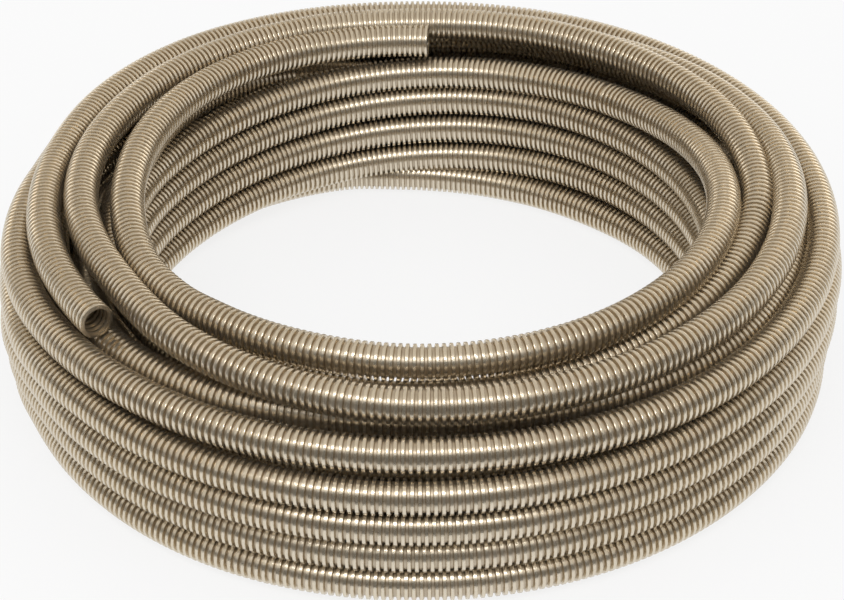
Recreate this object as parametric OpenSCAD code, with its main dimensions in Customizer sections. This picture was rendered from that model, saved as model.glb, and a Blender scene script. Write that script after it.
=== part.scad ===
// Corrugated stainless steel tubing, one length wound into a coil that lies flat.
// The ridges of the tube are fine relief and are left off: tube_od is measured over them.

/* [Tube] */
// Outside diameter of the tube, over its ridges
tube_od = 17.5; // [14:0.1:20]
// Clear bore of the tube, inside its ridges
tube_id = 12.6; // [8:0.1:13]
// Straight length at each cut end
end_straight = 30; // [22:1:40]
// Depth to which each open end is bored
bore_depth = 26; // [16:1:32]

/* [Coil] */
// Radius of the innermost turns, to the middle of the tube
inner_radius = 150; // [138:1:175]
// Full turns side by side, from the inside to the outside
columns = 4; // [4:1:6]
// Full turns one on another
layers = 5; // [3:1:7]
// Sideways gap between neighbouring turns
column_gap = 0.1; // [0.1:0.05:0.8]
// Upright gap between neighbouring turns
layer_gap = 0.6; // [0.1:0.05:0.8]
// How far the lowest outer turn lies inside the highest one
wall_lean = 6.5; // [0:0.5:8]
// How far the highest outermost turn lies in at the front
front_shift = 7.5; // [6:0.5:8]

/* [Top turns] */
// Gap under the loose top turns, which ride over the turns below them
top_gap = 0.3; // [0.2:0.1:1]
// Where the outer cut end's straight length begins, as an angle round the coil
outer_end_angle = 208; // [200:1:215]
// Where the inner cut end's straight length begins, as an angle round the coil
inner_end_angle = 99; // [92:1:106]
// Angle by which the inner cut end turns in towards the coil's eye
inner_end_turn = 6; // [2:1:10]

/* [Hidden] */
$fn = 96;
column_pitch = tube_od + column_gap;
layer_pitch = tube_od + layer_gap;
top_layer = layers - 1;
// How far the loose top turns lie above the highest full ones
top_rise = tube_od + top_gap;
// The knuckle where two legs of a run meet
knuckle_proud = 0.3;
knuckle_gap = 0.6;

// Middle of the turn in column c (0 is the innermost) and layer k (0 is the lowest)
function column_radius(c) = inner_radius + c * column_pitch;
function layer_height(k) = tube_od / 2 + k * layer_pitch;
function lean(c, k) = wall_lean * pow(c / (columns - 1), 2) * pow((top_layer - k) / top_layer, 2);

// Angle by which a leg tips to rise by h over a bend of radius r through angle a
function tip(h, r, a) = asin(h / (r * (1 - cos(a))));

// A run of tube along bends, each [radius, angle, tip]. It starts at the origin with a knuckle and heads
// along +Y for hand 1, along -Y for hand -1. A knuckle is a ridge that stands a little proud where two
// legs meet, and each leg stops just short of its middle.
module legs(bends, hand, i = 0) {
    if (i < len(bends)) {
        r = bends[i][0];
        a = bends[i][1];
        trim = knuckle_gap / r * 180 / PI;
        sphere(d = tube_od + knuckle_proud);
        rotate([0, bends[i][2], 0]) translate([-r, 0, 0]) {
            rotate([0, 0, hand > 0 ? trim : trim - a])
                rotate_extrude(angle = a - 2 * trim) translate([r, 0]) circle(d = tube_od);
            rotate([0, 0, hand * a]) translate([r, 0, 0]) legs(bends, hand, i + 1);
        }
    }
}

// The straight length behind a run's start, and the bore of its mouth
module cut_end(hand) {
    rotate([90 * hand, 0, 0]) translate([0, 0, knuckle_gap])
        cylinder(d = tube_od, h = end_straight - knuckle_gap);
}

module end_bore(hand) {
    rotate([90 * hand, 0, 0]) translate([0, 0, end_straight - bore_depth])
        cylinder(d = tube_id, h = bore_depth + 1);
}

module at(angle, radius, height) {
    rotate([0, 0, angle]) translate([radius, 0, height]) children();
}

// The full turns as one turned solid, grooved between the turns. The hidden ones are its plain core.
// The highest outermost turn is a little narrower and lies off the middle, so that it keeps its place at
// the back and lies in at the front.
module wound_core() {
    rotate_extrude() polygon([
        [column_radius(0), layer_height(0)],
        [column_radius(0), layer_height(top_layer)],
        [column_radius(columns - 1) - front_shift, layer_height(top_layer)],
        for (k = [top_layer - 1 : -1 : 0])
            [column_radius(columns - 1) - lean(columns - 1, k), layer_height(k)]
    ]);
    for (c = [0 : columns - 1], k = [0 : top_layer]) {
        shift = c == columns - 1 && k == top_layer ? front_shift / 2 : 0;
        if (c == 0 || c == columns - 1 || k == 0 || k == top_layer)
            translate([0, shift, 0])
                rotate_extrude() translate([column_radius(c) - lean(c, k) - shift, layer_height(k)])
                    circle(d = tube_od);
    }
}

top_z = layer_height(top_layer);
run_z = top_z + top_rise;

// A leg of bend radius column_radius(c) that turns through angle a and sinks by share of top_rise
function leg(c, a, share = 0) = [column_radius(c), a, -tip(share * top_rise, column_radius(c), a)];

module outer_start() { at(outer_end_angle, column_radius(columns - 1.86), run_z) children(); }
module inner_start() { at(inner_end_angle, column_radius(0.14), run_z) children(); }
module inner_mouth() { inner_start() rotate([0, 0, -inner_end_turn]) children(); }
module middle_start() { at(0, column_radius(2), run_z) children(); }

module tubing() {
    color("tan") difference() {
        union() {
            wound_core();
            // outer run, from its cut end down into the outermost full turn
            outer_start() cut_end(-1);
            outer_start() legs([leg(columns - 1.3, 120, 0.92)], -1);
            // inner run, from its cut end round and down into the innermost full turn
            inner_mouth() cut_end(1);
            inner_start() legs([leg(-0.16, 80), leg(0.1, 125), leg(-0.22, 125, 0.85)], 1);
            // middle run, up out of the third turn, once round and down into the second
            middle_start() legs([leg(1.52, 180), leg(1.34, 90), leg(0.82, 105, 0.85)], -1);
            middle_start() legs([leg(1.8, 72, 0.85)], 1);
        }
        outer_start() end_bore(-1);
        inner_mouth() end_bore(1);
    }
}

tubing();
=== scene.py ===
import math
import bpy
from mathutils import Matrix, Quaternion, Vector


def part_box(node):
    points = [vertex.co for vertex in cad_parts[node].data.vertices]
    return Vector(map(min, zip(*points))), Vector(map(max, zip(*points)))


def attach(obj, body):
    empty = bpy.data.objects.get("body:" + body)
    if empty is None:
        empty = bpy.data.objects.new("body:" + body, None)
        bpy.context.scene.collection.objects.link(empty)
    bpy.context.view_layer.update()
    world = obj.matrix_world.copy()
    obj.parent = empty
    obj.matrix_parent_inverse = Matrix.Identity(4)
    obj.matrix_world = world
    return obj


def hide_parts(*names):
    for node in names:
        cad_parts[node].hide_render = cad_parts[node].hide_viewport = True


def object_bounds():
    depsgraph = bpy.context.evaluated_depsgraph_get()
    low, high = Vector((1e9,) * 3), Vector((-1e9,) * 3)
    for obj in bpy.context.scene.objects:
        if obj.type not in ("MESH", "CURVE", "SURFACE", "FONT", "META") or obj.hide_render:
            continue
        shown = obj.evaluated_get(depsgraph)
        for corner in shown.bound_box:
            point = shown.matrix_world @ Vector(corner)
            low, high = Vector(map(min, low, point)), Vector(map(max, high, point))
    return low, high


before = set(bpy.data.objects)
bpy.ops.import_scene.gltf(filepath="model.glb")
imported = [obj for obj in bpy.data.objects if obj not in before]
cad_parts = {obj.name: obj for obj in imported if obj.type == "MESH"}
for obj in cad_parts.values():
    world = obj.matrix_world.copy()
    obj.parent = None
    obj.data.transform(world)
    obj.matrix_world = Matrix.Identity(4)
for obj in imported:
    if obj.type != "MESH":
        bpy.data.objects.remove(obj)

cadLow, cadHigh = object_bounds()
tubeLow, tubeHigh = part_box("tubing")
print("frame loaded")

coil = {
    "tubeWidth": 0.0175,       # over the ridges
    "ridgePitch": 0.00318,
    "ridgeSpread": 0.07,       # how much wider the ridges sit at the front, and closer at the back
    "angleStep": 1.5,          # degrees from one point of the route to the next
    "columnStep": 0.0176,
    "looseRise": 0.0178,       # from the highest full turns up to the loose ones on them
    "wallProud": 0.0002,       # how far the outer wall stands out past its even rounds
    "wallLean": 0.0065,        # how far the lowest outer turn lies inside the highest one
}
halfTube = coil["tubeWidth"] / 2
outermost = (tubeHigh.x - tubeLow.x) / 2 - halfTube + coil["wallProud"]
fullTop = tubeHigh.z - halfTube - coil["looseRise"]
layerStep = (fullTop - halfTube - tubeLow.z) / 4


# The whole tube is one route. Its keys are (degrees wound clockwise, radius in tube widths, level), where
# level 0 lies on the floor, 4 is the highest full turn and 5 a loose turn on top of that.
looseOuter = [
    (53.4, 10.72, 4.87), (66, 10.65, 4.80), (88, 10.66, 4.70), (104, 10.76, 4.58), (121, 11.01, 4.52),
    (140, 11.22, 4.40), (155, 11.34, 4.25), (182, 11.45, 4.05), (205, 11.56, 4.0), (240, 11.50, 4.0),
    (272, 11.42, 4.0), (315, 11.35, 4.0), (360, 11.14, 4.0), (398, 11.23, 4.0), (417, 11.37, 4.0),
]
# the highest turn of the outer wall, which is pressed in at the left
highWall = [
    (429, 11.46, 4.0), (437, 11.47, 4.0), (448, 11.37, 4.0), (456, 11.27, 3.99), (463, 11.18, 3.97),
    (467, 11.20, 3.95), (474, 11.36, 3.89), (486, 11.52, 3.75), (545, 11.57, 3.15), (567, 11.62, 3.13),
    (590, 11.61, 3.11), (614, 11.53, 3.09),
]
# where the three turns below it stand out, each in a list of its own
leftBulges = [
    [(768, 11.57, 3.0), (786, 11.72, 3.0), (797, 11.60, 3.0), (804, 11.55, 3.0)],
    [(1142, 11.52, 2.0), (1155, 11.68, 2.0), (1166, 11.58, 2.0)],
    [(1502, 11.32, 1.0), (1517, 11.55, 1.0), (1528, 11.45, 1.0)],
]
# the lowest turn of the outer wall
lowWall = [
    (1745, 11.28, 0.08), (1822, 11.27, 0.04), (1862, 11.22, 0.02), (1869, 11.25, 0.01), (1879, 11.42, 0),
    (1892, 11.36, 0),
]
# the lowest turn comes in from the second column to the inner wall
lowInner = [
    (5915, 9.12, 0), (5924, 9.03, 0), (5936, 8.70, 0), (5950, 8.51, 0), (5963, 8.42, 0), (5978, 8.38, 0),
    (5998, 8.48, 0.01),
]
# the third column's highest turn, pushed in at the front
highThird = [
    (3542, 10.50, 3.96), (3566, 10.14, 4), (3588, 9.80, 4.03), (3602, 9.72, 4.03), (3617, 9.76, 3.98),
    (3632, 10.0, 3.90), (3650, 10.28, 3.90), (3675, 10.48, 3.95), (3710, 10.56, 4),
]
# the second column's highest turn, under the loose inner one
highSecond = [
    (4240, 9.45, 4.55), (4262, 9.1, 4.30), (4285, 8.75, 4.10), (4345, 8.74, 4.03), (4378, 8.76, 3.97),
    (4420, 8.70, 4.08), (4455, 9.4, 3.95),
]
# each turn of the inner wall stands out here: (degrees past its start, radius, rise in levels)
innerBulge = [(157, 8.60, 0.11), (192, 8.78, 0.17), (224, 8.66, 0.40)]
looseMiddle = [
    (199, 10.23, 4.30), (240, 10.52, 4.60), (280, 10.43, 4.90), (320, 10.36, 4.90), (360, 10.23, 4.87),
    (399, 9.74, 4.95), (422, 9.42, 4.98), (447, 9.60, 4.98), (479, 9.76, 4.95), (496, 9.80, 4.90),
    (520, 9.78, 4.82), (540, 9.64, 4.78), (570, 9.64, 4.85), (600, 9.71, 4.85), (632, 9.60, 4.70),
]
looseInner = [
    (-79, 8.60, 4.85), (-39, 8.57, 4.98), (0, 8.53, 4.98), (24, 8.43, 4.96), (40, 8.42, 4.92),
    (50, 8.48, 4.88), (60, 8.49, 4.88), (70, 8.40, 4.90), (80, 8.31, 4.95), (90, 8.29, 4.98),
    (109, 8.39, 4.98), (130, 8.64, 4.90), (150, 8.80, 4.80), (165, 8.75, 4.76), (182, 8.62, 4.76),
]


def columnRadius(column, level=4):
    lean = coil["wallLean"] * (column / 3) ** 2 * ((4 - level) / 4) ** 2
    return (outermost - (3 - column) * coil["columnStep"] - lean) / coil["tubeWidth"]


def routeKeys():
    innermost, second, third = (columnRadius(column) for column in range(3))
    keys = looseOuter + highWall
    for turn, bulge in enumerate(leftBulges):      # outer wall, down to the floor
        start, level = 815 + 360 * turn, 3 - turn
        here, below = columnRadius(3, level), columnRadius(3, level - 1)
        keys += bulge + [(start, here, level), (start + 90, below, level - 0.85)]
    keys += lowWall + [(1985, third, 0)]
    for level in range(4):                         # third column, up
        start = 2255 + 360 * level
        keys += [(start, third, level), (start + 90, third, level + 0.85)]
    keys += [(3440, third, 4)] + highThird + [(3779, third, 4)]
    keys += [(angle + 3600, radius, level) for angle, radius, level in looseMiddle]
    keys += highSecond + [(4505, second, 3)]
    for level in (3, 2, 1):                        # second column, down
        start = 5855 - 360 * level
        keys += [(start, second, level), (start + 90, second, level - 1)]
    keys += [(5855, second, 0)] + lowInner
    for level in range(4):                         # inner wall, up
        start = 6040 + 360 * level
        keys += [(start, innermost, level + 0.03)]
        keys += [(start + past, radius, level + rise) for past, radius, rise in innerBulge]
        keys += [(start + 302, innermost, level + 1)]
    keys += [(angle + 7560, radius, level) for angle, radius, level in looseInner]
    return keys


def keySlopes(keys, row):
    # slopes of a curve that never overshoots its keys
    rise = [(b[row] - a[row]) / (b[0] - a[0]) for a, b in zip(keys, keys[1:])]
    slopes = [rise[0]]
    for before, after in zip(rise, rise[1:]):
        slopes.append(2 * before * after / (before + after) if before * after > 0 else 0)
    return slopes + [rise[-1]]


keys = routeKeys()
radiusSlopes, levelSlopes = keySlopes(keys, 1), keySlopes(keys, 2)


def between(angle, index, row, slopes):
    a, b = keys[index], keys[index + 1]
    span = b[0] - a[0]
    s = (angle - a[0]) / span
    return ((1 + 2 * s) * (1 - s) ** 2 * a[row] + s * (1 - s) ** 2 * span * slopes[index]
            + s * s * (3 - 2 * s) * b[row] + s * s * (s - 1) * span * slopes[index + 1])


def routePoint(angle):
    index = max(i for i in range(len(keys) - 1) if keys[i][0] <= angle or i == 0)
    radius = between(angle, index, 1, radiusSlopes) * coil["tubeWidth"]
    level = between(angle, index, 2, levelSlopes)
    height = tubeLow.z + halfTube + min(level, 4) * layerStep + max(level - 4, 0) * coil["looseRise"]
    turn = math.radians(angle)
    return Vector((-radius * math.sin(turn), -radius * math.cos(turn), height))


def routePoints(start, end):
    count = round(abs(end - start) / coil["angleStep"])
    return [routePoint(start + (end - start) * i / count) for i in range(count + 1)]


def clearSelection():
    if bpy.context.mode != "OBJECT":
        bpy.ops.object.mode_set(mode="OBJECT")
    bpy.ops.object.select_all(action="DESELECT")


def pick(*things):
    clearSelection()
    for thing in things:
        thing.select_set(True)
    bpy.context.view_layer.objects.active = things[0]


# A sleeve follows a profile of (distance along, radius), both in metres, ring by ring along X.
def makeSleeve(name, sides, profile):
    clearSelection()
    along, radius = profile[0]
    bpy.ops.mesh.primitive_circle_add(vertices=sides, radius=radius, fill_type="NOTHING", location=(0, 0, 0),
                                      rotation=(0, math.pi / 2, 0))
    sleeve = bpy.context.object
    sleeve.name = name
    bpy.ops.object.transform_apply(location=True, rotation=True, scale=True)
    bpy.ops.object.mode_set(mode="EDIT")
    bpy.ops.mesh.select_all(action="SELECT")
    bpy.ops.transform.translate(value=(along, 0, 0))
    for nextAlong, nextRadius in profile[1:]:
        bpy.ops.mesh.extrude_region_move(TRANSFORM_OT_translate={"value": (nextAlong - along, 0, 0)})
        grow = nextRadius / radius
        bpy.ops.transform.resize(value=(1, grow, grow), center_override=(nextAlong, 0, 0))
        along, radius = nextAlong, nextRadius
    bpy.ops.object.mode_set(mode="OBJECT")
    for edge in sleeve.data.edges:
        a, b = (sleeve.data.vertices[i].co.x for i in edge.vertices)
        edge.use_edge_sharp = abs(a - b) < mergeDistance
    return sleeve


# U is 0.5 in the middle of a crest and 0 or 1 in the middle of a groove, and V goes round the tube.
def layRidgeMap(sleeve):
    mesh = sleeve.data
    mesh.uv_layers.new(name="ridgeMap")
    layer = mesh.uv_layers["ridgeMap"].data
    for face in mesh.polygons:
        spots = [mesh.vertices[mesh.loops[i].vertex_index].co for i in face.loop_indices]
        first = math.floor(min(spot.x for spot in spots) / coil["ridgePitch"] + 0.001)
        middle = math.atan2(face.center.z, face.center.y)
        for i, spot in zip(face.loop_indices, spots):
            turn = math.atan2(spot.z, spot.y) - middle
            turn = (turn + math.pi) % (2 * math.pi) - math.pi
            along = spot.x / coil["ridgePitch"] - first
            layer[i].uv = (along + 0.5 - crestShare, (middle + turn) / (2 * math.pi) + 0.5)


# Ridge profiles: (share of the pitch, radius), from the foot of a ridge over its crest to the far foot. The
# rest of the pitch is the floor of the groove.
ridgeForms = {
    "fine": {"sides": 20, "profile": [(0, 0.00700), (0.12, 0.00860), (0.22, 0.00870), (0.50, 0.00870),
                                      (0.60, 0.00860), (0.72, 0.00700)]},
    "wall": {"sides": 16, "profile": [(0, 0.00700), (0.13, 0.00868), (0.59, 0.00868), (0.72, 0.00700)]},
    "plain": {"sides": 8, "profile": [(0, 0.0069), (0.36, 0.0087)]},
}
crestShare = 0.36              # where the crest's middle lies
mergeDistance = 0.00001
mouth = {
    "ridges": 12,              # how far in the bore is modelled
    "wall": 0.00032,
    "rimRadius": 0.0070,
}
pieces = [
    {"name": "looseOuterTurn", "from": 53.4, "to": 455, "form": "fine", "mouth": True},
    {"name": "looseMiddleTurn", "from": 3779, "to": 4300, "form": "fine"},
    {"name": "looseInnerTurn", "from": 7742, "to": 7422, "form": "fine", "mouth": True},
    {"name": "outerWallHigh", "from": 455, "to": 1175, "form": "wall"},
    {"name": "outerWallLow", "from": 1175, "to": 1895, "form": "wall"},
    {"name": "innerWallHigh", "from": 6638, "to": 7422, "form": "wall"},
    {"name": "innerWallLow", "from": 5855, "to": 6638, "form": "wall"},
    {"name": "floorTurnThird", "from": 1895, "to": 2255, "form": "wall"},
    {"name": "floorTurnSecond", "from": 5585, "to": 5855, "form": "wall"},
    {"name": "highTurnThird", "from": 3255, "to": 3779, "form": "wall"},
    {"name": "highTurnSecond", "from": 4300, "to": 4475, "form": "wall"},
    {"name": "coreTurnsThird", "from": 2255, "to": 3255, "form": "plain"},
    {"name": "coreTurnsSecond", "from": 4475, "to": 5585, "form": "plain"},
]


def makeRidge(form):
    pitch = coil["ridgePitch"]
    profile = [(share * pitch, radius) for share, radius in form["profile"]]
    return makeSleeve("ridge", form["sides"], profile + [(pitch, profile[0][1])])


# The open end: in from the bottom of the bore, out to the cut rim, and back over the outside.
def makeMouth(form):
    pitch, count = coil["ridgePitch"], mouth["ridges"]
    outside = [((turn + share) * pitch, radius) for turn in range(count) for share, radius in form["profile"]]
    outside += [(count * pitch, form["profile"][0][1])]
    outside[0] = (0, mouth["rimRadius"])
    inside = [(along, radius - mouth["wall"]) for along, radius in reversed(outside)]
    return makeSleeve("mouth", form["sides"], inside + outside)


# Moves the ridges of a straight piece along it, so that they sit wider where it comes round the front.
def spreadRidges(piece, spec, length):
    begin, pace = math.radians(spec["from"]), math.radians(spec["to"] - spec["from"]) / length
    for vertex in piece.data.vertices:
        vertex.co.x += coil["ridgeSpread"] / pace * (math.sin(begin + pace * vertex.co.x) - math.sin(begin))


def windPiece(spec):
    form = ridgeForms[spec["form"]]
    points = routePoints(spec["from"], spec["to"])
    length = sum((b - a).length for a, b in zip(points, points[1:]))
    ridges = round(length / coil["ridgePitch"])
    piece = makeRidge(form)
    layRidgeMap(piece)
    pick(piece)
    repeat = piece.modifiers.new("Repeat", "ARRAY")
    repeat.use_relative_offset = False
    repeat.use_constant_offset = True
    repeat.constant_offset_displace = (coil["ridgePitch"], 0, 0)
    repeat.use_merge_vertices = True
    repeat.merge_threshold = mergeDistance
    repeat.count = ridges - (mouth["ridges"] if spec.get("mouth") else 0)
    bpy.ops.object.modifier_apply(modifier="Repeat")
    if spec.get("mouth"):
        end = makeMouth(form)
        layRidgeMap(end)
        piece.location.x = mouth["ridges"] * coil["ridgePitch"]
        pick(piece)
        bpy.ops.object.transform_apply(location=True, rotation=False, scale=False)
        pick(piece, end)
        bpy.ops.object.join()
    spreadRidges(piece, spec, length)
    bpy.ops.curve.primitive_nurbs_path_add(location=(0, 0, 0))
    route = bpy.context.object
    route.data.splines.clear()
    line = route.data.splines.new("POLY")
    line.points.add(len(points) - 1)
    for spot, point in zip(line.points, points):
        spot.co = (*point, 1)
    route.data.twist_mode = "Z_UP"
    route.data.use_radius = False
    route.data.use_stretch = True
    route.data.use_deform_bounds = True
    pick(piece)
    wind = piece.modifiers.new("Wind", "CURVE")
    wind.object = route
    wind.deform_axis = "POS_X"
    bpy.ops.object.modifier_apply(modifier="Wind")
    bpy.data.objects.remove(route)
    bpy.ops.object.mode_set(mode="EDIT")
    bpy.ops.mesh.select_all(action="SELECT")
    if spec.get("mouth"):
        bpy.ops.mesh.remove_doubles(threshold=mergeDistance)
    bpy.ops.mesh.fill_holes(sides=0)
    bpy.ops.mesh.select_all(action="SELECT")
    bpy.ops.mesh.normals_make_consistent(inside=False)
    bpy.ops.object.mode_set(mode="OBJECT")
    bpy.ops.object.shade_smooth()
    piece.name = spec["name"]
    piece.data.name = spec["name"]
    print(spec["name"], "wound:", ridges, "ridges,", round(length, 3), "m")
    return piece


class SocketValue:
    # a node's output that takes part in sums
    def __init__(self, recipe, socket):
        self.recipe, self.socket = recipe, socket

    def combine(self, operation, first, second):
        result = self.recipe.node("ShaderNodeMath", {"operation": operation}, {0: first, 1: second})
        return result.out("Value")

    def __add__(self, other):
        return self.combine("ADD", self, other)

    def __sub__(self, other):
        return self.combine("SUBTRACT", self, other)

    def __rsub__(self, other):
        return self.combine("SUBTRACT", other, self)

    def __mul__(self, other):
        return self.combine("MULTIPLY", self, other)

    __radd__, __rmul__ = __add__, __mul__


class MadeNode:
    def __init__(self, recipe, made):
        self.recipe, self.made = recipe, made

    def out(self, name):
        return SocketValue(self.recipe, self.made.outputs[name])


class Recipe:
    # a material's or the world's nodes
    def __init__(self, owner):
        owner.use_nodes = True
        self.tree = owner.node_tree
        self.tree.nodes.clear()

    def node(self, kind, settings=None, inputs=None):
        made = self.tree.nodes.new(kind)
        for name, value in (settings or {}).items():
            setattr(made, name, value)
        for name, value in (inputs or {}).items():
            if isinstance(value, SocketValue):
                self.tree.links.new(value.socket, made.inputs[name])
            else:
                made.inputs[name].default_value = value
        return MadeNode(self, made)


steel = {
    "crest": (0.72, 0.645, 0.52),
    "flank": (0.68, 0.60, 0.475),
    # the groove colour is painted shade: the groove floors are coloured darker for the shade that falls in
    # them
    "groove": (0.57, 0.49, 0.38),
    "grooveShadeFrom": 0.62,          # how deep in a groove the painted groove shade begins, from 0 at a crest to 1
    "metallic": 0.93,          # below 1, for a film of dirt
    "roughness": 0.26,
    "grooveShadeMottle": 0.3,         # how far the mottling moves the edge of the painted groove shade, and of the lighter crests
    "crestMottle": 0.5,
    "crestBlendTo": 0.5,
    "mottleRoughness": 0.14,
    "grooveShadeRoughness": 0.15,
    "mottleScale": 55,
    "grainScale": 900,
    "grainStrength": 0.12,
    "grainHeight": 0.0004,
}


def makeSteel():
    material = bpy.data.materials.new("corrugatedStainless")
    recipe = Recipe(material)
    spot = recipe.node("ShaderNodeTexCoord").out("Object")
    ridge = recipe.node("ShaderNodeUVMap", {"uv_map": "ridgeMap"}).out("UV")
    along = recipe.node("ShaderNodeSeparateXYZ", {}, {"Vector": ridge}).out("X")
    mottle = recipe.node("ShaderNodeTexNoise", {}, {
        "Vector": spot, "Scale": steel["mottleScale"], "Detail": 4.0}).out("Fac")
    grain = recipe.node("ShaderNodeTexNoise", {}, {
        "Vector": spot, "Scale": steel["grainScale"], "Detail": 2.0}).out("Fac")
    wave = recipe.node("ShaderNodeMath", {"operation": "COSINE"}, {0: along * (2 * math.pi)}).out("Value")
    depth = wave * 0.5 + 0.5
    # painted shade: deep in each groove the colour turns to the darker groove colour, and the roughness rises
    # there
    paintedGrooveShade = recipe.node("ShaderNodeMapRange", {"interpolation_type": "SMOOTHSTEP"}, {
        "Value": depth + (mottle - 0.5) * steel["grooveShadeMottle"],
        "From Min": steel["grooveShadeFrom"], "From Max": 1.0}).out("Result")
    # the colour is lightest on the crests and a little darker down the flanks
    crestBlend = recipe.node("ShaderNodeMapRange", {"interpolation_type": "SMOOTHSTEP"}, {
        "Value": depth + (mottle - 0.5) * steel["crestMottle"],
        "From Min": 0.0, "From Max": steel["crestBlendTo"]}).out("Result")
    metal = recipe.node("ShaderNodeMix", {"data_type": "RGBA"}, {
        "Factor": crestBlend, 6: (*steel["crest"], 1), 7: (*steel["flank"], 1)}).out(2)
    colour = recipe.node("ShaderNodeMix", {"data_type": "RGBA"}, {
        "Factor": paintedGrooveShade, 6: metal, 7: (*steel["groove"], 1)}).out(2)
    roughness = steel["roughness"] + (mottle - 0.5) * steel["mottleRoughness"] + paintedGrooveShade * steel["grooveShadeRoughness"]
    bump = recipe.node("ShaderNodeBump", {}, {
        "Strength": steel["grainStrength"], "Distance": steel["grainHeight"], "Height": grain}).out("Normal")
    surface = recipe.node("ShaderNodeBsdfPrincipled", {}, {
        "Base Color": colour, "Roughness": roughness, "Metallic": steel["metallic"],
        "Normal": bump}).out("BSDF")
    recipe.node("ShaderNodeOutputMaterial", {}, {"Surface": surface})
    return material


camera = {
    "place": (0.0, -1.1660, 0.8446),
    "aim": (0.0003, 0.0, 0.0290),
    "lens": 118.7,
    "sensor": 36,
    "clip": (0.05, 50),
    "roll": -0.588,
}


def placeCamera():
    data = bpy.data.cameras.new("camera")
    data.lens = camera["lens"]
    data.sensor_width = camera["sensor"]
    data.clip_start, data.clip_end = camera["clip"]
    eye = bpy.data.objects.new("camera", data)
    bpy.context.scene.collection.objects.link(eye)
    eye.location = camera["place"]
    look = Vector(camera["aim"]) - Vector(camera["place"])
    eye.rotation_mode = "QUATERNION"
    roll = Quaternion((0, 0, 1), math.radians(camera["roll"]))
    eye.rotation_quaternion = look.to_track_quat("-Z", "Y") @ roll
    bpy.context.scene.camera = eye


floor = {"size": 40.0, "gap": 0.0002, "colour": (0.86, 0.86, 0.86), "whiteShare": 0.8}


def layFloor():
    clearSelection()
    bpy.ops.mesh.primitive_plane_add(size=floor["size"], location=(0, 0, cadLow.z - floor["gap"]))
    ground = bpy.context.object
    ground.name = "floor"
    bpy.ops.object.transform_apply(location=True, rotation=True, scale=True)
    material = bpy.data.materials.new("paleFloor")
    recipe = Recipe(material)
    path = recipe.node("ShaderNodeLightPath")
    seen = path.out("Is Camera Ray") + path.out("Is Glossy Ray") + path.out("Is Transmission Ray")
    paint = recipe.node("ShaderNodeBsdfDiffuse", {}, {"Color": (*floor["colour"], 1)}).out("BSDF")
    glow = recipe.node("ShaderNodeEmission", {}, {"Color": (1, 1, 1, 1), "Strength": 1.0}).out("Emission")
    both = recipe.node("ShaderNodeMixShader", {}, {
        0: seen * floor["whiteShare"], 1: paint, 2: glow}).out("Shader")
    recipe.node("ShaderNodeOutputMaterial", {}, {"Surface": both})
    ground.data.materials.append(material)


upright, across = math.pi / 2, (math.pi / 2, 0, math.pi / 2)
light = {
    "world": 0.8,
    "key": {"place": (-0.15, -1.35, 2.1), "size": (1.8, 0.3), "power": 14},
    "cards": [
        {"name": "frontCard", "place": (0, -2.6, 1.1), "turn": (upright, 0, 0), "size": (6.0, 2.2),
         "tones": (0.13, 0.13)},
        {"name": "nearCard", "place": (0, -1.49, 0.0005), "turn": (0, 0, 0), "size": (6.0, 2.22),
         "tones": (0.13, 0.13)},
        {"name": "leftCard", "place": (-3.0, -1.0, 0.75), "turn": across, "size": (3.2, 1.5),
         "tones": (0.22, 0.22)},
        {"name": "rightCard", "place": (3.0, -1.0, 0.75), "turn": across, "size": (3.2, 1.5),
         "tones": (0.20, 0.20)},
        {"name": "backCard", "place": (0, 3.0, 1.6), "turn": (upright, 0, 0), "size": (12.0, 3.2),
         "tones": (0.40, 0.88)},
        {"name": "farLeftCard", "place": (-2.5, 2.9, 0.55), "turn": (upright, 0, 0), "size": (1.9, 1.1),
         "tones": (1.9, 1.9)},
        {"name": "farRightCard", "place": (1.95, 2.9, 0.75), "turn": (upright, 0, 0), "size": (1.3, 1.5),
         "tones": (2.2, 2.2)},
        {"name": "lowBackCard", "place": (-0.9, 2.9, 0.6), "turn": (upright, 0, 0), "size": (0.55, 0.7),
         "tones": (2.0, 2.0)},
        {"name": "midBackCard", "place": (0.5, 2.9, 1.3), "turn": (upright, 0, 0), "size": (0.55, 0.75),
         "tones": (1.3, 1.3)},
        {"name": "highCard", "place": (0, -1.9, 3.2), "turn": (0, 0, 0), "size": (12.0, 2.6),
         "tones": (0.68, 0.68)},
        {"name": "ceilingCard", "place": (0, 1.2, 3.2), "turn": (0, 0, 0), "size": (12.0, 3.6),
         "tones": (0.76, 0.66)},
    ],
    "cardTint": (1.0, 0.93, 0.83),
    "toneReach": 1.5,
}


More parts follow.
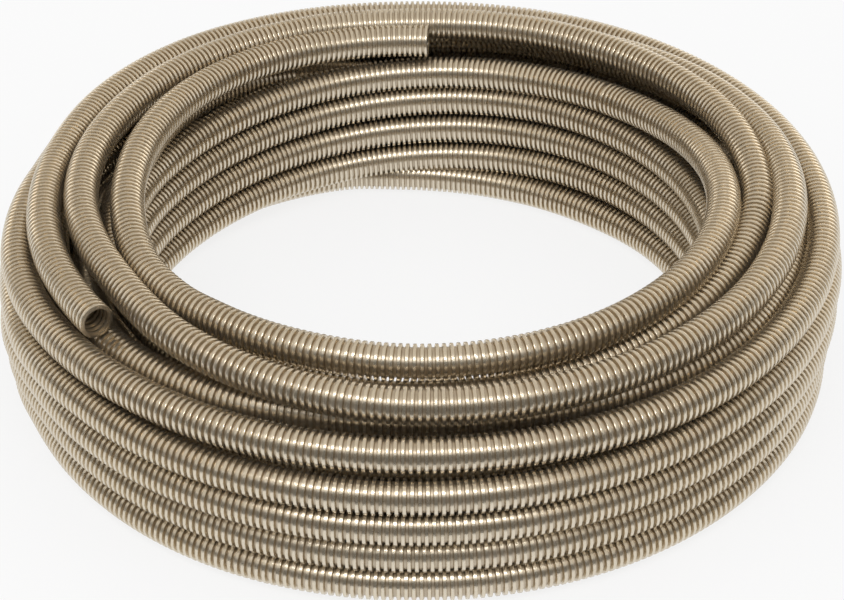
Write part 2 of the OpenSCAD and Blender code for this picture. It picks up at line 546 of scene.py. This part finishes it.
# Cards that only the metal sees: dark ones low in front of the coil and beside it, for its dark lines, a grey
# one with bright patches behind it, and grey ones overhead. Their tone runs from left to right, as far as
# toneReach to either side.
def standCard(spec):
    clearSelection()
    bpy.ops.mesh.primitive_plane_add(size=1, location=spec["place"], rotation=spec["turn"])
    card = bpy.context.object
    card.name = spec["name"]
    card.scale = (*spec["size"], 1)
    bpy.ops.object.transform_apply(location=True, rotation=True, scale=True)
    material = bpy.data.materials.new(spec["name"])
    recipe = Recipe(material)
    spot = recipe.node("ShaderNodeTexCoord").out("Object")
    side = recipe.node("ShaderNodeSeparateXYZ", {}, {"Vector": spot}).out("X")
    tone = recipe.node("ShaderNodeMapRange", {"interpolation_type": "SMOOTHSTEP"}, {
        "Value": side, "From Min": -light["toneReach"], "From Max": light["toneReach"],
        "To Min": spec["tones"][0], "To Max": spec["tones"][1]}).out("Result")
    paper = recipe.node("ShaderNodeEmission", {}, {
        "Color": (*light["cardTint"], 1), "Strength": tone}).out("Emission")
    recipe.node("ShaderNodeOutputMaterial", {}, {"Surface": paper})
    card.data.materials.append(material)
    card.visible_camera = card.visible_diffuse = card.visible_shadow = False


def placeLamps():
    spec = light["key"]
    data = bpy.data.lights.new("key", "AREA")
    data.shape = "RECTANGLE"
    data.size, data.size_y = spec["size"]
    data.energy = spec["power"]
    lamp = bpy.data.objects.new("key", data)
    bpy.context.scene.collection.objects.link(lamp)
    lamp.location = spec["place"]
    lamp.rotation_mode = "QUATERNION"
    lamp.rotation_quaternion = (-Vector(spec["place"])).to_track_quat("-Z", "Y")
    world = bpy.data.worlds.new("studio")
    bpy.context.scene.world = world
    recipe = Recipe(world)
    path = recipe.node("ShaderNodeLightPath")
    seen = path.out("Is Camera Ray") + path.out("Is Glossy Ray") + path.out("Is Transmission Ray")
    strength = light["world"] + seen * (1 - light["world"])
    back = recipe.node("ShaderNodeBackground", {}, {
        "Color": (1, 1, 1, 1), "Strength": strength}).out("Background")
    recipe.node("ShaderNodeOutputWorld", {}, {"Surface": back})


bpy.context.scene.view_settings.view_transform = "Standard"
placeCamera()
layFloor()
placeLamps()
for spec in light["cards"]:
    standCard(spec)
print("camera, floor and lamps placed")
stainless = makeSteel()
for spec in pieces:
    piece = windPiece(spec)
    piece.data.materials.clear()
    piece.data.materials.append(stainless)
    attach(piece, "root")
    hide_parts("tubing")
